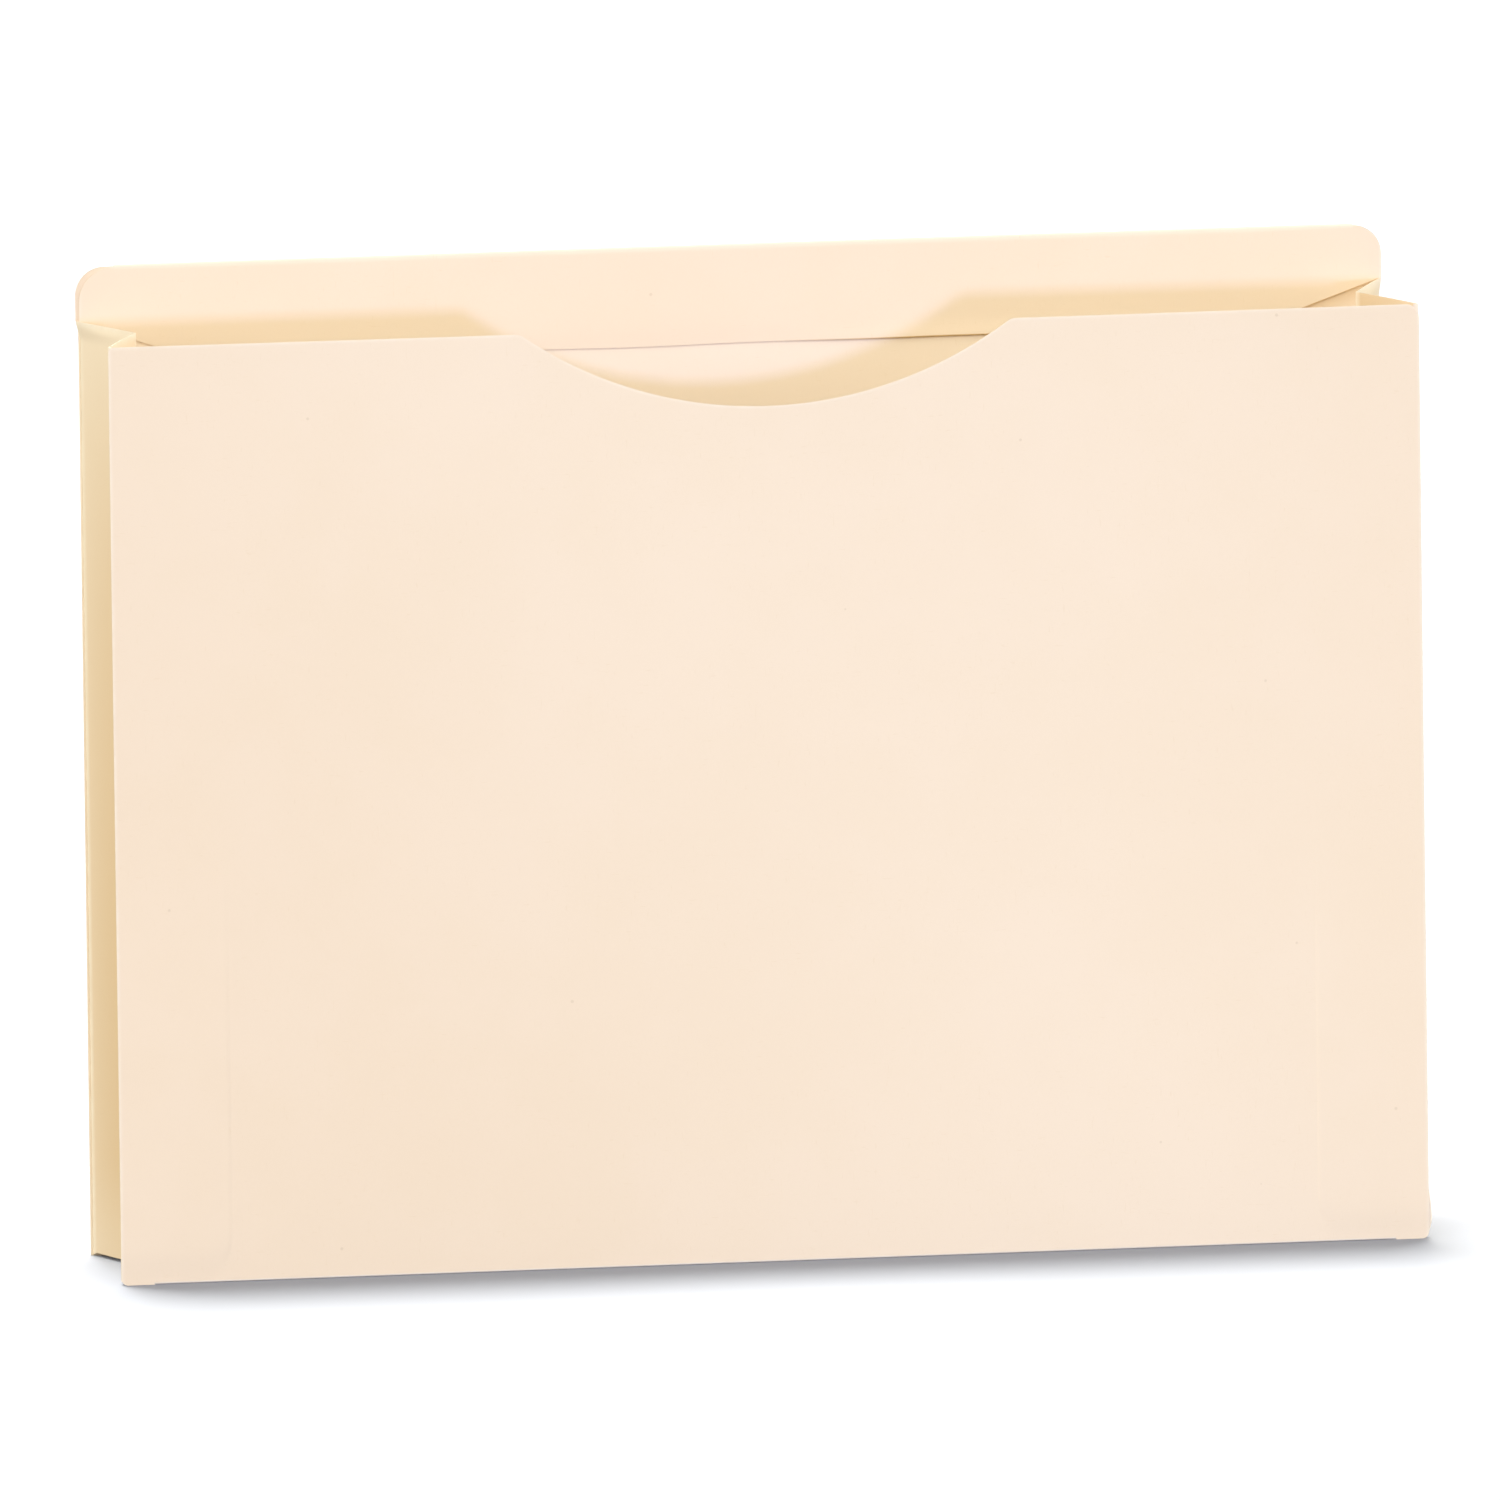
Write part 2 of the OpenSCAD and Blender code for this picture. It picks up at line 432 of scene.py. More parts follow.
def back_shade(x, z):
    """The back panel, with painted shadow along the lower edge of the tab's front ply and under its
    sloping right end.
    """
    if x < -ply_low_half:
        return BACK_SHADE
    under = abs(ply_foot(x) - z)
    if x > ply_low_half:
        # Painted shade under the ply's sloping right end
        return BACK_SHADE + (PLY_END_SHADE - BACK_SHADE) * smooth(1.0 - under / PLY_END_SHADE_H)
    # Painted shadow under the ply's lower edge, darker where the ply springs off on the right
    ply_shadow = PLY_SHADOW_LEFT + (PLY_SHADOW_RIGHT - PLY_SHADOW_LEFT) * ply_spring(x)
    return BACK_SHADE + (ply_shadow - BACK_SHADE) * smooth(1.0 - under / PLY_SHADOW_H)


def flap_print(x, z):
    """How far the front panel is pressed forward over a glue flap, with the flap's round lower corner.

    The print is clear near the foot and fades out higher up. Its border is softer along the flap's end.
    """
    across = abs(x) - flap_inner_x
    along = z - flap_low.z
    inside = min(across, along)
    if across < FLAP_CORNER_R and along < FLAP_CORNER_R:
        inside = FLAP_CORNER_R - math.hypot(FLAP_CORNER_R - across, FLAP_CORNER_R - along)
    fade = smooth((FLAP_PRINT_HIGH - z) / (FLAP_PRINT_HIGH - FLAP_PRINT_LOW))
    width = FLAP_PRINT_W * (1.0 + FLAP_PRINT_SOFTEN * smooth(2.0 * across / FLAP_CORNER_R))
    return FLAP_PRINT * fade * smooth(0.5 + inside / width)


def ply_lift(x, z):
    """How far the front ply stands forward at its free lower edge: pressed in, and sprung on the right."""
    free = smooth(1.0 - (z - ply_low.z) / PLY_LIFT_H)
    return free * (PLY_LIFT * ply_spring(x) - PLY_PRESS)


def corner_columns(half, radius):
    """Stations that follow a round corner at the end of a panel."""
    return [half - radius + radius * math.sin(angle) for angle in spread(0.0, math.pi / 2, 8)]


front_columns = both_sides(stations(
    spread(0.0, ease_meet_x, 24),
    spread(ease_meet_x, ease_x, 8),
    spread(ease_x, flap_inner_x - FLAP_PRINT_W, 16),
    spread(flap_inner_x - FLAP_PRINT_W, flap_inner_x + FLAP_PRINT_W, 12),
    spread(flap_inner_x + FLAP_PRINT_W, flap_inner_x + FLAP_CORNER_R, 6),
    spread(flap_inner_x + FLAP_CORNER_R, bottom_half, 4),
    [bottom_half + CORNER_RELIEF],
    corner_columns(half_w, PANEL_CORNER_R),
    corner_columns(half_w, FOOT_CORNER_R),
    corner_columns(half_w, SQUARED_CORNER_R),
))
back_columns = both_sides(stations(
    spread(0.0, ply_low_half, 48),
    spread(ply_low_half, bottom_half, 16),
    [bottom_half + CORNER_RELIEF, half_w - SEAM_IN],
    corner_columns(half_w, TAB_CORNER_R),
    corner_columns(half_w, FOOT_CORNER_R),
    corner_columns(-ply_left, PLY_SKEW_CORNER_R),
))


def panel_foot(x, fold_z):
    """Lower edge of a panel: the start of its bottom fold, or the cut edge beyond the fold's end."""
    over = abs(x) - bottom_half
    if over <= 0:
        return fold_z
    relief = fold_z * (1.0 - min(over / CORNER_RELIEF, 1.0))
    corner = abs(x) - (half_w - FOOT_CORNER_R)
    if corner <= 0:
        return relief
    return FOOT_CORNER_R - math.sqrt(max(FOOT_CORNER_R ** 2 - corner ** 2, 0.0))


def bottom_line(panel_y, lip):
    """The bottom fold and leaf in Y and Z, from the panel's foot to a lip past or short of the ridge."""
    ridge_rise = board / 2 / math.sin(leaf_tilt)
    top = Vector((ridge.y, fold_at["bottom_rear_fold"].z + leaf_run.x + ridge_rise))
    corner = Vector((panel_y, BOTTOM_FOLD_RISE))
    foot = corner + Vector((0.0, FOLD_R * 2))
    if lip:
        past = Vector((-panel_y, BOTTOM_FOLD_RISE)) - top
        return bent_line([foot, corner, top, top + past.normalized() * LIP], FOLD_R, (1, 8, 1))
    return bent_line([foot, corner, top.lerp(corner, LIP / leaf_w)], FOLD_R, (1, 8))


def add_bottom_leaf(card, columns, line, panel_y):
    """Joins the bottom fold and its mitred leaf to a panel's foot."""
    inner = [x for x in columns if abs(x) <= bottom_half + SAME_PLACE]

    def lay(x, spot):
        place, distance = spot
        run = min(abs(place.x - panel_y) / math.sin(leaf_tilt), leaf_w)
        narrowed = x * (bottom_half - run * (1.0 + MITRE_EASE)) / bottom_half
        # Painted shade that deepens along the bottom leaf, away from the panel's foot
        shade = PLAIN_SHADE + (1.0 - PLAIN_SHADE) * smooth(run / BOTTOM_SHADE_W)
        return (narrowed, place.x, place.y), wear_near(distance), shade

    card.patch(inner, line, lay)


# Pieces of the jacket


def bend_over(piece):
    """Bakes the piece's placement into its mesh.
    """
    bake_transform(piece)


def front_sheet(finish, edge):
    """Front panel with the thumb cut, its bottom fold and the bottom front leaf."""
    card = Card("front_sheet")
    line = bottom_line(front_y, lip=False)
    fold_z = line[0][0].y
    levels = stations(
        spread(fold_z, flap_low.z - FLAP_PRINT_W, 3),
        spread(flap_low.z - FLAP_PRINT_W, flap_low.z + FLAP_PRINT_W, 10),
        spread(flap_low.z + FLAP_PRINT_W, flap_low.z + FLAP_CORNER_R, 5),
        spread(flap_low.z + FLAP_CORNER_R, mouth_z - WORN_W, 48),
        spread(mouth_z - WORN_W, mouth_z, 3),
    )

    def lay(x, level):
        share = (level - fold_z) / (mouth_z - fold_z)
        foot = panel_foot(x, fold_z)
        top = front_top(x)
        z = foot + (top - foot) * share
        y = front_y + front_belly(x, z) - flap_print(x, z)
        wear_and_highlight = EDGE_WEAR * wear_near(min(half_w - abs(x), top - z))
        return (x, y, z), wear_and_highlight, front_shade(x, z)

    card.patch(front_columns, levels, lay)
    add_bottom_leaf(card, front_columns, line, front_y)
    piece = card.cut(finish, edge)
    bend_over(piece)
    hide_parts("front_panel", "bottom_front_leaf")
    return piece


def back_sheet(finish, edge):
    """Back panel with the tab, the ply folded over it, the bottom fold and the bottom rear leaf."""
    card = Card("back_sheet")
    line = bottom_line(back_y, lip=True)
    fold_z = line[0][0].y
    seam_x = half_w - SEAM_IN
    levels = stations(
        spread(fold_z, ply_low.z - 2 * PLY_SHADOW_H, 44),
        spread(ply_low.z - 2 * PLY_SHADOW_H, ply_low.z + 2 * PLY_SHADOW_H, 16),
        spread(ply_low.z + 2 * PLY_SHADOW_H, mouth_z, 12),
    )

    def lay_panel(x, level):
        if abs(x) > seam_x + SAME_PLACE:
            return None
        foot = panel_foot(x, fold_z)
        z = foot + (mouth_z - foot) * (level - fold_z) / (mouth_z - fold_z)
        return (x, back_y + back_belly(x, z), z), 0.0, back_shade(x, z)

    def lay_tab(x, share):
        z = mouth_z + (tab_edge(x) - mouth_z) * share
        # Painted shade on the strip of the tab that the askew front ply leaves bare
        bare = smooth(0.5 + max(ply_left - x, z - ply_top(x)) / BARE_FADE) if x < bend_left else 0.0
        shade = TAB_SHADE + (BARE_SHADE - TAB_SHADE) * bare
        wear_and_highlight = EDGE_WEAR * wear_near(half_w - abs(x)) * (1.0 - bare)
        return (x, back_y + back_belly(x, z), z), wear_and_highlight, shade

    def lay_bend(x, angle):
        if not bend_left - SAME_PLACE < x < bend_right + SAME_PLACE:
            return None
        y = (back_y + ply_y) / 2 + bend_r * math.cos(angle) + back_belly(x, bend_z)
        return (x, y, bend_z + bend_r * math.sin(angle)), 0.0, BEND_SHADE

    def lay_ply(x, share):
        if x < ply_left - SAME_PLACE:
            return None
        foot = ply_foot(x)
        z = foot + (ply_top(x) - foot) * share
        y = ply_y + back_belly(x, z) - ply_lift(x, z)
        wear_and_highlight = EDGE_WEAR * wear_near(min(half_w - x, x - ply_left))
        # Painted shade: the ply's lower edge row and its cut edge take a dark brown that stands in for
        # their shadow
        edge_shade = PLY_EDGE_SHADE_LEFT + (PLY_EDGE_SHADE_RIGHT - PLY_EDGE_SHADE_LEFT) * ply_spring(x)
        return (x, y, z), wear_and_highlight, TAB_SHADE if share > 0.0 else edge_shade

    card.patch(back_columns, levels, lay_panel)
    card.patch(back_columns, spread(0.0, 1.0, 16), lay_tab)
    card.patch(back_columns, spread(0.0, math.pi, 8), lay_bend)
    card.patch(back_columns, stations([PLY_EDGE_SHARE], spread(0.0, 1.0, 20)), lay_ply)
    add_bottom_leaf(card, back_columns, line, back_y)
    piece = card.cut(finish, edge, plain_back=True)
    bend_over(piece)
    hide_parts("back_panel", "tab_ply", "bottom_rear_leaf")
    return piece


def pleat_corners(side):
    """Corners of a side pleat in X and Y, from the back panel to the flap's inner edge."""
    edge_x = half_w - FOLD_SETBACK
    ridge_x = -ridge.x - board / 2 / math.sin(leaf_tilt)
    return {
        "seam": Vector((side * (half_w - SEAM_IN), back_y)),
        "rear": Vector((side * edge_x, back_y)),
        "ridge": Vector((side * ridge_x, ridge.y)),
        "front": Vector((side * edge_x, flap_y)),
        "flap": Vector((side * flap_inner_x, flap_y)),
    }


def rear_creep(place, side, z):
    """How far the rear fold has crept in below the tab. It comes back out to the edge at the mouth."""
    on_panel = (abs(place.x) - (half_w - SEAM_IN)) / (SEAM_IN - FOLD_SETBACK)
    on_leaf = (place.y - ridge.y) / (back_y - ridge.y)
    near = max(0.0, min(1.0, on_panel if place.y > back_y - SAME_STATION else on_leaf))
    return REAR_CREEP[side] * near * smooth((mouth_z - z) / REAR_CREEP_H)


def foot_bulge(place, side, z):
    """How far the right front fold bulges out past the panel's edge near the foot."""
    if side == LEFT:
        return 0.0
    near = smooth(1.0 - (place - Vector((half_w, flap_y))).length / FOOT_BULGE_REACH)
    rise = smooth(z / FOOT_BULGE_LOW) * smooth((FOOT_BULGE_HIGH - z) / (FOOT_BULGE_HIGH - FOOT_BULGE_LOW))
    return FOOT_BULGE * near * rise


def leaf_set(place, side, z):
    """Where a point of a pleat ends up: leaves belly outward, and the rear one's top edge leans in."""
    rear = place.y > ridge.y
    reach = back_y - ridge.y if rear else ridge.y - flap_y
    share = min(abs(place.y - ridge.y) / reach, 1.0)
    between = math.sin(math.pi * share) ** 2
    lean = LEAF_LEAN * smooth(1.0 - (mouth_z - z) / LEAF_LEAN_H) if rear else 0.0
    wave = 1.0 - LEAF_WAVE + LEAF_WAVE * math.sin(z / LEAF_WAVE_LENGTH)
    depth = between * (LEAF_BELLY * wave - lean)
    normal = Vector((side * math.sin(leaf_tilt), -math.cos(leaf_tilt) if rear else math.cos(leaf_tilt)))
    outward = Vector((side * (foot_bulge(place, side, z) - rear_creep(place, side, z)), 0.0))
    if place.y > back_y - SAME_STATION:
        outward.y = back_belly(place.x, z)
    return place + normal * depth + outward


def leaf_shade(place, side, z):
    """Painted shade on a pleat, deeper towards its ridge, with painted light that makes it paler near its
    foot and mouth.
    """
    depth = max(0.0, (half_w - abs(place.x)) / (half_w + ridge.x))
    shade = FOLD_SHADE + (RIDGE_SHADE - FOLD_SHADE) * math.sqrt(depth)
    mouth_shade = MOUTH_SHADE[side] * smooth(0.5 + (ridge.y - place.y) / SHADE_FADE)
    shade = shade * (1.0 - (1.0 - mouth_shade) * math.exp(-(mouth_z - z) / LEAF_SHADE_H))
    shade = shade * (1.0 - FOOT_SHADE * smooth(1.0 - z / FOOT_SHADE_H))
    tucked = smooth((back_y - place.y) / SHADE_FADE)
    return BACK_SHADE + (shade - BACK_SHADE) * tucked


def flap_end(across, low):
    """Lower or upper end of a glue flap, at a distance in from the flap's inner edge."""
    ease = 0.0
    if across < FLAP_CORNER_R:
        ease = FLAP_CORNER_R - math.sqrt(FLAP_CORNER_R ** 2 - (FLAP_CORNER_R - across) ** 2)
    return flap_low.z + ease if low else flap_high.z - ease


foot_share = 0.09
lean_share = 0.97
pleat_levels = stations(
    spread(0.0, foot_share, 20),
    spread(foot_share, lean_share, 50),
    spread(lean_share, 1.0, 14),
)


def add_leaves(card, line, side):
    """Upright strip of a side pleat, up to the mouth. On the back panel it starts at the foot."""

    def lay(spot, share):
        place, distance = spot
        off_panel = smooth((back_y - place.y) / LEAF_FOOT_RISE_W)
        foot = leaf_low.z * off_panel
        z = foot + (mouth_z - foot) * share
        placed = leaf_set(place, side, z)
        wear_and_highlight = wear_near(distance)
        # Painted highlight: the top edge of the rear leaves and of the left front leaf is drawn paler with
        # the rubbed colour
        if side == LEFT or place.y > ridge.y:
            wear_and_highlight = max(wear_and_highlight, off_panel * smooth(1.0 - (mouth_z - z) / LEAF_LEAN_H))
        return (placed.x, placed.y, z), wear_and_highlight, leaf_shade(place, side, z)

    card.patch(line, pleat_levels, lay)


def add_flap(card, line, side):
    """Glue flap behind the front panel, joined to the fold at the end of its pleat."""
    fold_x = abs(line[-1][0].x)

    def lay(share, height):
        x = fold_x + (flap_inner_x - fold_x) * share
        across = x - flap_inner_x
        low = flap_end(across, True)
        z = low + (flap_end(across, False) - low) * height
        # The hidden glue flap takes the full painted shade
        return (side * x, flap_y + front_belly(x, z), z), 0.0, 1.0

    card.patch(spread(0.0, 1.0, 24), pleat_levels, lay)


def pleat_rear(side, name, finish, edge):
    """Side fold at the back panel and the rear leaf, almost to the ridge."""
    at = pleat_corners(side)
    card = Card(name + "_rear_pleat")
    stop = at["ridge"].lerp(at["rear"], RIDGE_STRIP / leaf_w)
    add_leaves(card, bent_line([at["seam"], at["rear"], stop], FOLD_R, (1, 14)), side)
    piece = card.cut(finish, edge, plain_back=True)
    bend_over(piece)
    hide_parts(name + "_rear_leaf")
    return piece


def pleat_ridge(side, name, finish, edge):
    """Ridge of a side pleat. On the right it runs on to the front fold, where it meets the flap."""
    at = pleat_corners(side)
    card = Card(name + "_ridge_pleat")
    start = at["ridge"].lerp(at["rear"], RIDGE_STRIP / leaf_w)
    run = RIDGE_STRIP if side == LEFT else leaf_w - LIP
    stop = at["ridge"].lerp(at["front"], run / leaf_w)
    steps = (3, 3) if side == LEFT else (3, 14)
    add_leaves(card, bent_line([start, at["ridge"], stop], RIDGE_R, steps), side)
    piece = card.cut(finish, edge)
    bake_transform(piece)
    if side == RIGHT:
        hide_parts("right_front_leaf")
    return piece


def left_front_pleat(finish, edge):
    """Front leaf of the left pleat, its front fold and the glue flap, in one stretch."""
    at = pleat_corners(LEFT)
    card = Card("left_front_pleat")
    start = at["ridge"].lerp(at["front"], RIDGE_STRIP / leaf_w)
    inward = at["front"].lerp(at["flap"], FLAP_START / (at["flap"] - at["front"]).length)
    line = bent_line([start, at["front"], inward], FOLD_R, (14, 1))
    add_leaves(card, line, LEFT)
    add_flap(card, line, LEFT)
    piece = card.cut(finish, edge)
    bend_over(piece)
    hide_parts("left_front_leaf", "left_glue_flap")
    return piece


def right_flap(finish, edge):
    """Right glue flap with the fold's lip, which the front leaf meets."""
    at = pleat_corners(RIGHT)
    card = Card("right_flap")
    start = at["front"].lerp(at["ridge"], LIP / leaf_w)
    inward = at["front"].lerp(at["flap"], FLAP_START / (at["flap"] - at["front"]).length)
    line = bent_line([start, at["front"], inward], FOLD_R, (1, 1))
    add_leaves(card, line, RIGHT)
    add_flap(card, line, RIGHT)
    piece = card.cut(finish, edge)
    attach(piece, "front")
    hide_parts("right_glue_flap")
    return piece


def glue_film(node, body, belly, finish):
    """Film of dried glue that follows the card on both sides of it."""
    low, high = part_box(node)
    card = Card(node + "_film", high.y - low.y)
    middle = (low.y + high.y) / 2

    def lay(x, z):
        return (x, middle + belly(x, z), z), 0.0, 0.0

    count = max(4, round((high.x - low.x) / GLUE_STEP))
    card.patch(spread(low.x, high.x, count), spread(low.z, high.z, 40), lay)
    piece = card.cut(finish, finish)
    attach(piece, body)
    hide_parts(node)
    return piece


# Finishes
PALE_MANILA = (0.919, 0.766, 0.61, 1.0)
DEEP_MANILA_AND_SHADE = (0.722, 0.513, 0.31, 1.0)
CUT_MANILA = (0.88, 0.72, 0.56, 1.0)
# Paler colour of rubbed folds and edges, also used for the painted highlight on the pleats' top edges
RUBBED_AND_LIT_MANILA = (0.95, 0.85, 0.72, 1.0)
FORMATION_DARK = (0.985, 0.98, 0.965, 1.0)
FORMATION_LIGHT = (1.0, 1.0, 1.0, 1.0)
FIBRE_BROWN = (0.72, 0.52, 0.30, 1.0)
SPECK_BROWN = (0.42, 0.27, 0.13, 1.0)
GLUE_DARK = (0.78, 0.72, 0.58, 1.0)
GLUE_LIGHT = (0.90, 0.86, 0.74, 1.0)
CLOUDS_PER_M = 70.0
HAZES_PER_M = 14.0
GRAINS_PER_M = 1500.0
FIBRES_PER_M = 2600.0
FIBRE_ENDS_PER_M = 420.0
SPECKS_PER_M = 60.0
RUB_AND_HIGHLIGHT_BREAKS_PER_M = 260.0
GLUE_CLOUDS_PER_M = 240.0
CLOUD_TONE = 0.6
GRAIN_TONE = 0.5
TONE_RANGE = 0.8
FLECK_START = 0.66
FLECK_FULL = 0.78
FLECK_STRENGTH = 0.22
SPECK_CORE = 0.016
SPECK_RIM = 0.028
SPECK_STRENGTH = 0.25
RUB_AND_HIGHLIGHT_STRENGTH = 0.7
GRAIN_TOOTH = 0.7
CARD_TOOTH = 0.35
CUT_TOOTH = 0.8
TOOTH_H = 0.02 * MM
GLUE_RIPPLE_H = 0.05 * MM


def new_group(name, inputs, outputs):
    """An empty shader group with its sockets."""
    group = bpy.data.node_groups.new(name, "ShaderNodeTree")
    for title, kind, value in inputs:
        socket = group.interface.new_socket(title, in_out="INPUT", socket_type=kind)
        socket.default_value = value
    for title, kind in outputs:
        group.interface.new_socket(title, in_out="OUTPUT", socket_type=kind)
    return group


def add(tree, kind, inputs=(), **settings):
    """A shader node with its settings. inputs maps a socket to a value or to a node's output."""
    node = tree.nodes.new(kind)
    for key, value in settings.items():
        setattr(node, key, value)
    for socket, value in dict(inputs).items():
        if isinstance(value, bpy.types.NodeSocket):
            tree.links.new(value, node.inputs[socket])
        else:
            node.inputs[socket].default_value = value
    return node


def mix_colour(tree, share, first, second, blend="MIX"):
    """Colour mixed from two others."""
    node = tree.nodes.new("ShaderNodeMix")
    node.data_type = "RGBA"
    node.blend_type = blend
    node.clamp_factor = False
    for number, value in ((0, share), (6, first), (7, second)):
        if isinstance(value, bpy.types.NodeSocket):
            tree.links.new(value, node.inputs[number])
        else:
            node.inputs[number].default_value = value
    return node.outputs[2]


def noise(tree, place, scale, detail=2.0, roughness=0.5):
    """Noise between 0 and 1, with about scale features to the metre."""
    inputs = {"Vector": place, "Scale": scale, "Detail": detail, "Roughness": roughness}
    return add(tree, "ShaderNodeTexNoise", inputs).outputs["Fac"]


def remap(tree, value, low, high, to_low=0.0, to_high=1.0):
    """Value from one range eased into another."""
    inputs = {0: value, 1: low, 2: high, 3: to_low, 4: to_high}
    return add(tree, "ShaderNodeMapRange", inputs, interpolation_type="SMOOTHSTEP").outputs[0]


def arithmetic(tree, operation, first, second):
    """Sum, product or other result of two values."""
    return add(tree, "ShaderNodeMath", {0: first, 1: second}, operation=operation).outputs[0]


def strands_along(tree, place, features):
    """Noise drawn out into strands, with that many features to the metre along X, Y and Z."""
    drawn_out = add(tree, "ShaderNodeMapping", {"Vector": place, "Scale": features}).outputs[0]
    return noise(tree, drawn_out, 1.0)


def card_fibre_group():
    """Felted fibres: cloudy formation, short fibres, a few dark specks and the tooth of the surface."""
    group = new_group("card_fibre", [
        ("Cloud", "NodeSocketFloat", 1.0),
    ], [
        ("Tone", "NodeSocketFloat"),
        ("Fleck", "NodeSocketFloat"),
        ("Speck", "NodeSocketFloat"),
        ("Height", "NodeSocketFloat"),
    ])
    source = group.nodes.new("NodeGroupInput")
    sink = group.nodes.new("NodeGroupOutput")
    place = add(group, "ShaderNodeTexCoord").outputs["Object"]
    clouds = noise(group, place, CLOUDS_PER_M, detail=4.0, roughness=0.6)
    cloud = remap(group, clouds, 0.3, 0.7, -0.5, 0.5)
    hazes = noise(group, place, HAZES_PER_M)
    haze = remap(group, hazes, 0.3, 0.7, -0.5, 0.5)
    grains = noise(group, place, GRAINS_PER_M, detail=3.0, roughness=0.6)
    grain = remap(group, grains, 0.25, 0.75, -0.5, 0.5)
    upright = strands_along(group, place, (FIBRES_PER_M, FIBRES_PER_M, FIBRE_ENDS_PER_M))
    level = strands_along(group, place, (FIBRE_ENDS_PER_M, FIBRES_PER_M, FIBRES_PER_M))
    strands = arithmetic(group, "MAXIMUM", upright, level)
    fleck = remap(group, strands, FLECK_START, FLECK_FULL)
    cells = add(group, "ShaderNodeTexVoronoi", {"Vector": place, "Scale": SPECKS_PER_M})
    speck = remap(group, cells.outputs["Distance"], SPECK_CORE, SPECK_RIM, 1.0, 0.0)
    slow = arithmetic(group, "ADD", arithmetic(group, "MULTIPLY", cloud, CLOUD_TONE), haze)
    mottle = arithmetic(group, "ADD", slow, arithmetic(group, "MULTIPLY", grain, GRAIN_TONE))
    tone = arithmetic(group, "MULTIPLY", mottle, source.outputs["Cloud"])
    tooth = arithmetic(group, "ADD", arithmetic(group, "MULTIPLY", grain, GRAIN_TOOTH), strands)
    group.links.new(tone, sink.inputs["Tone"])
    group.links.new(fleck, sink.inputs["Fleck"])
    group.links.new(speck, sink.inputs["Speck"])
    group.links.new(tooth, sink.inputs["Height"])
    return group


def wear_and_highlight_group():
    """Rubbed folds and edges and a painted highlight on the pleats' top edges, broken up along their
    length.
    """
    group = new_group("wear_and_highlight_card", [
        ("Amount", "NodeSocketFloat", 1.0),
    ], [
        ("Wear", "NodeSocketFloat"),
    ])
    source = group.nodes.new("NodeGroupInput")
    sink = group.nodes.new("NodeGroupOutput")
    wear_and_highlight = add(group, "ShaderNodeAttribute", attribute_name="wear_and_highlight").outputs["Fac"]
    place = add(group, "ShaderNodeTexCoord").outputs["Object"]
    break_noise = noise(group, place, RUB_AND_HIGHLIGHT_BREAKS_PER_M, detail=3.0, roughness=0.6)
    broken = remap(group, break_noise, 0.35, 0.65, 0.55, 1.0)
    patchy = arithmetic(group, "MULTIPLY", wear_and_highlight, broken)
    wear_and_highlight_mark = arithmetic(group, "MULTIPLY", patchy, source.outputs["Amount"])
    group.links.new(wear_and_highlight_mark, sink.inputs["Wear"])
    return group


def card_finish(name, fibre, wear_and_highlight, pale, tooth):
    """Uncoated manila card: pale outside, painted shade in pleats, paler on rubbed folds, edges and
    painted highlights.
    """
    material = bpy.data.materials.new(name)
    material.use_nodes = True
    tree = material.node_tree
    shader = tree.nodes["Principled BSDF"]
    felt = add(tree, "ShaderNodeGroup", {"Cloud": 1.0}, node_tree=fibre)
    wear_and_highlight_mark = add(tree, "ShaderNodeGroup", {"Amount": RUB_AND_HIGHLIGHT_STRENGTH}, node_tree=wear_and_highlight)
    shade = add(tree, "ShaderNodeAttribute", attribute_name="shade").outputs["Fac"]
    # Painted shade: the shade attribute darkens the card towards the deep colour wherever it is set so
    base = mix_colour(tree, shade, pale, DEEP_MANILA_AND_SHADE)
    light_tone = remap(tree, felt.outputs["Tone"], -TONE_RANGE, TONE_RANGE)
    formation = mix_colour(tree, light_tone, FORMATION_DARK, FORMATION_LIGHT)
    felted = mix_colour(tree, 1.0, base, formation, "MULTIPLY")
    fleck_share = arithmetic(tree, "MULTIPLY", felt.outputs["Fleck"], FLECK_STRENGTH)
    flecked = mix_colour(tree, fleck_share, felted, FIBRE_BROWN)
    faded = mix_colour(tree, wear_and_highlight_mark.outputs["Wear"], flecked, RUBBED_AND_LIT_MANILA)
    speck_share = arithmetic(tree, "MULTIPLY", felt.outputs["Speck"], SPECK_STRENGTH)
    shown = mix_colour(tree, speck_share, faded, SPECK_BROWN)
    tree.links.new(shown, shader.inputs["Base Color"])
    rough = remap(tree, felt.outputs["Tone"], -TONE_RANGE, TONE_RANGE, 0.74, 0.62)
    tree.links.new(rough, shader.inputs["Roughness"])
    relief = {"Strength": tooth, "Distance": TOOTH_H, "Height": felt.outputs["Height"]}
    bump = add(tree, "ShaderNodeBump", relief)
    tree.links.new(bump.outputs[0], shader.inputs["Normal"])
    shader.inputs["Specular IOR Level"].default_value = 0.3
    return material


def dried_glue():
    """Dried white glue, a little cloudy and glossy."""
    material = bpy.data.materials.new("dried_glue")
    material.use_nodes = True
    tree = material.node_tree
    shader = tree.nodes["Principled BSDF"]
    place = add(tree, "ShaderNodeTexCoord").outputs["Object"]
    cloud = noise(tree, place, GLUE_CLOUDS_PER_M, detail=4.0, roughness=0.6)
    tint = mix_colour(tree, cloud, GLUE_DARK, GLUE_LIGHT)
    tree.links.new(tint, shader.inputs["Base Color"])
    rough = remap(tree, cloud, 0.3, 0.7, 0.28, 0.45)
    tree.links.new(rough, shader.inputs["Roughness"])
    bump = add(tree, "ShaderNodeBump", {"Strength": 0.4, "Distance": GLUE_RIPPLE_H, "Height": cloud})
    tree.links.new(bump.outputs[0], shader.inputs["Normal"])
    return material


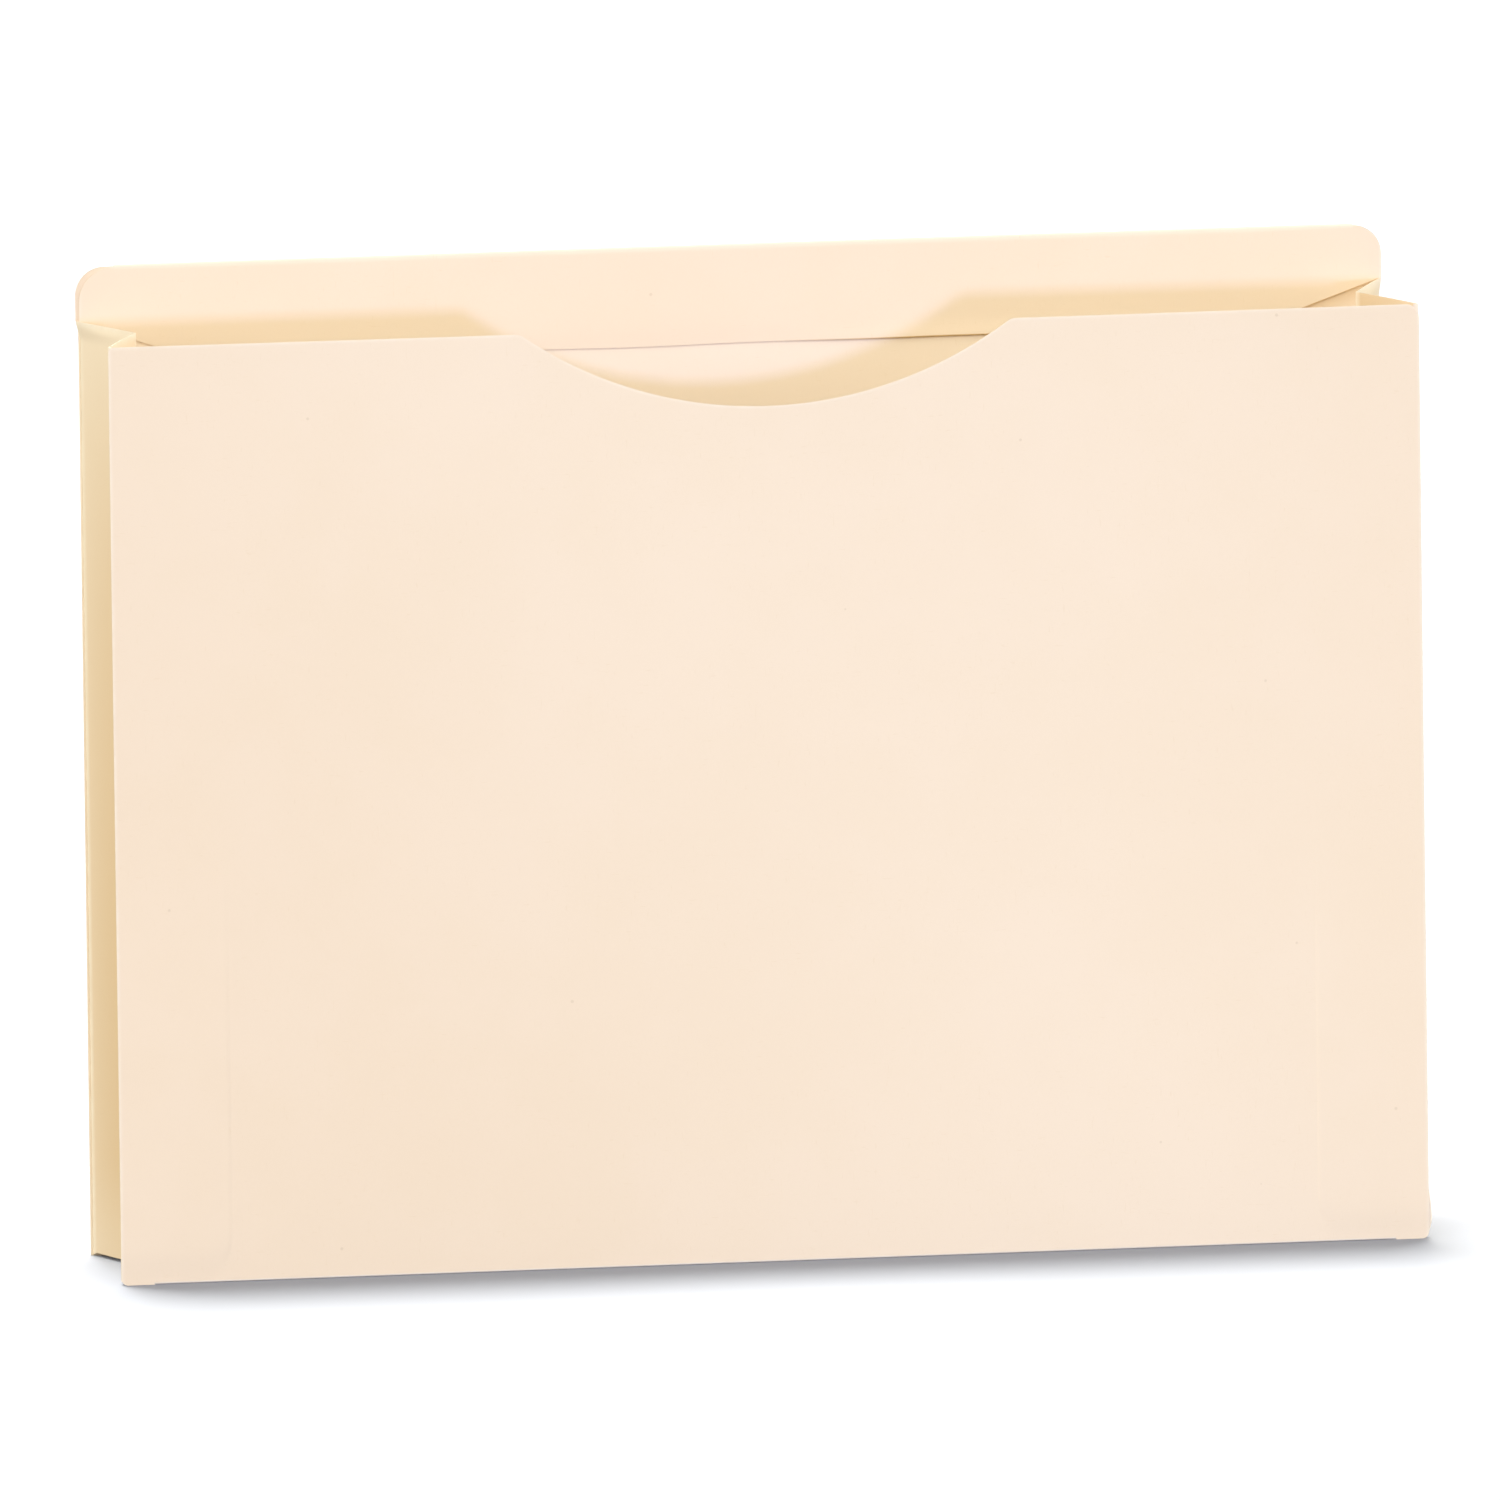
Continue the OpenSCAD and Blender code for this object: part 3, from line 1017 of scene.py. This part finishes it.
# Studio
FLOOR_REACH = 30.0
FLOOR_CLOUDS_PER_M = 3.0
FLOOR_DARK = (0.162, 0.179, 0.243, 1.0)
FLOOR_LIGHT = (0.167, 0.184, 0.25, 1.0)
FLOOR_BOUNCE = (0.0175, 0.0175, 0.0175, 1.0)
WARM = (0.925, 0.866, 0.668)
COOL = (0.986, 1.226, 2.335)
LIT_PLACE = (0.0, 0.0, 0.12)


def studio_floor():
    """Wide pale floor, which throws little light back at the jacket."""
    mesh = bpy.data.meshes.new("studio_floor")
    corners = [(x * FLOOR_REACH, y * FLOOR_REACH, 0) for x, y in ((-1, -1), (1, -1), (1, 1), (-1, 1))]
    mesh.from_pydata(corners, [], [(0, 1, 2, 3)])
    floor = bpy.data.objects.new("studio_floor", mesh)
    bpy.context.scene.collection.objects.link(floor)
    material = bpy.data.materials.new("pale_floor")
    material.use_nodes = True
    tree = material.node_tree
    shader = tree.nodes["Principled BSDF"]
    place = add(tree, "ShaderNodeTexCoord").outputs["Object"]
    cloud = noise(tree, place, FLOOR_CLOUDS_PER_M)
    seen = mix_colour(tree, cloud, FLOOR_DARK, FLOOR_LIGHT)
    to_eye = add(tree, "ShaderNodeLightPath").outputs["Is Camera Ray"]
    shown = mix_colour(tree, to_eye, FLOOR_BOUNCE, seen)
    tree.links.new(shown, shader.inputs["Base Color"])
    shader.inputs["Roughness"].default_value = 0.8
    shader.inputs["Specular IOR Level"].default_value = 0.1
    mesh.materials.append(material)
    return floor


def direction(azimuth, elevation):
    """Where something lies, in degrees to the right of the front and above the floor."""
    turn = math.radians(azimuth)
    rise = math.radians(elevation)
    return Vector((math.sin(turn) * math.cos(rise), -math.cos(turn) * math.cos(rise), math.sin(rise)))


def soft_light(name, place, size, power):
    """Square cool soft box that faces the jacket."""
    lamp = bpy.data.lights.new(name, "AREA")
    lamp.color = COOL
    lamp.shape = "SQUARE"
    lamp.size = size
    lamp.energy = power
    box = bpy.data.objects.new(name, lamp)
    bpy.context.scene.collection.objects.link(box)
    box.location = place
    box.rotation_euler = (Vector(LIT_PLACE) - Vector(place)).to_track_quat("-Z", "Y").to_euler()


def broad_light(name, azimuth, elevation, spread_deg, strength):
    """Even wash of warm soft light from far off."""
    lamp = bpy.data.lights.new(name, "SUN")
    lamp.color = WARM
    lamp.energy = strength
    lamp.angle = math.radians(spread_deg)
    wash = bpy.data.objects.new(name, lamp)
    bpy.context.scene.collection.objects.link(wash)
    wash.rotation_euler = (-direction(azimuth, elevation)).to_track_quat("-Z", "Y").to_euler()
    return wash


def studio_light(floor):
    """Pale surroundings, two cool boxes, broad warm washes and a wash that lights the floor alone."""
    floor_only = bpy.data.collections.new("floor_only")
    floor_only.objects.link(floor)
    world = bpy.data.worlds.new("white_studio")
    bpy.context.scene.world = world
    world.use_nodes = True
    sky = world.node_tree.nodes["Background"]
    sky.inputs["Color"].default_value = (*WARM, 1.0)
    sky.inputs["Strength"].default_value = 0.35
    soft_light("front_box", place=(0.24, -3.0, 0.235), size=0.2, power=20.0)
    soft_light("rear_box", place=(-0.24, 3.0, 0.235), size=0.2, power=18.0)
    broad_light("high_wash", azimuth=6.0, elevation=45.0, spread_deg=60.0, strength=0.35)
    broad_light("left_wash", azimuth=-60.0, elevation=30.0, spread_deg=60.0, strength=3.4)
    broad_light("right_wash", azimuth=60.0, elevation=30.0, spread_deg=60.0, strength=2.4)
    broad_light("right_side_wash", azimuth=104.0, elevation=20.0, spread_deg=30.0, strength=1.1)
    broad_light("rear_wash", azimuth=180.0, elevation=15.0, spread_deg=30.0, strength=2.4)
    floor_wash = broad_light("floor_wash", azimuth=-172.0, elevation=82.0, spread_deg=13.0, strength=20.5)
    floor_wash.light_linking.receiver_collection = floor_only
    look = bpy.context.scene.view_settings
    look.view_transform = "Standard"
    look.gamma = 1.35
    look.exposure = -0.2


def camera():
    """Long lens from the front, a little to the left and above."""
    away = direction(azimuth=-9.34, elevation=7.75)
    roll = math.radians(-0.73)
    distance = 12.0
    aim = Vector((-0.6 * MM, 0.0, 113.14 * MM))
    right = Vector((0, 0, 1)).cross(away).normalized()
    up = away.cross(right)
    turned_right = right * math.cos(roll) + up * math.sin(roll)
    turned_up = up * math.cos(roll) - right * math.sin(roll)
    lens = bpy.data.cameras.new("camera")
    lens.lens = 1278.0
    lens.sensor_width = 36.0
    view = bpy.data.objects.new("camera", lens)
    bpy.context.scene.collection.objects.link(view)
    turn = Matrix((turned_right, turned_up, away)).transposed().to_4x4()
    view.matrix_world = Matrix.Translation(aim + away * distance) @ turn
    bpy.context.scene.camera = view


def jacket():
    """All the pieces of the jacket with their finishes."""
    fibre = card_fibre_group()
    wear_and_highlight = wear_and_highlight_group()
    card = card_finish("manila_card", fibre, wear_and_highlight, PALE_MANILA, CARD_TOOTH)
    edge = card_finish("cut_card_edge", fibre, wear_and_highlight, CUT_MANILA, CUT_TOOTH)
    pieces = [make(card, edge) for make in (front_sheet, back_sheet, left_front_pleat, right_flap)]
    for side, name in ((LEFT, "left"), (RIGHT, "right")):
        pieces.append(pleat_rear(side, name, card, edge))
        pieces.append(pleat_ridge(side, name, card, edge))
    glue = dried_glue()
    glue_film("tab_glue", "back", back_belly, glue)
    for name in ("left", "right"):
        glue_film(name + "_glue_line", "front", front_belly, glue)


jacket()
studio_light(studio_floor())
camera()
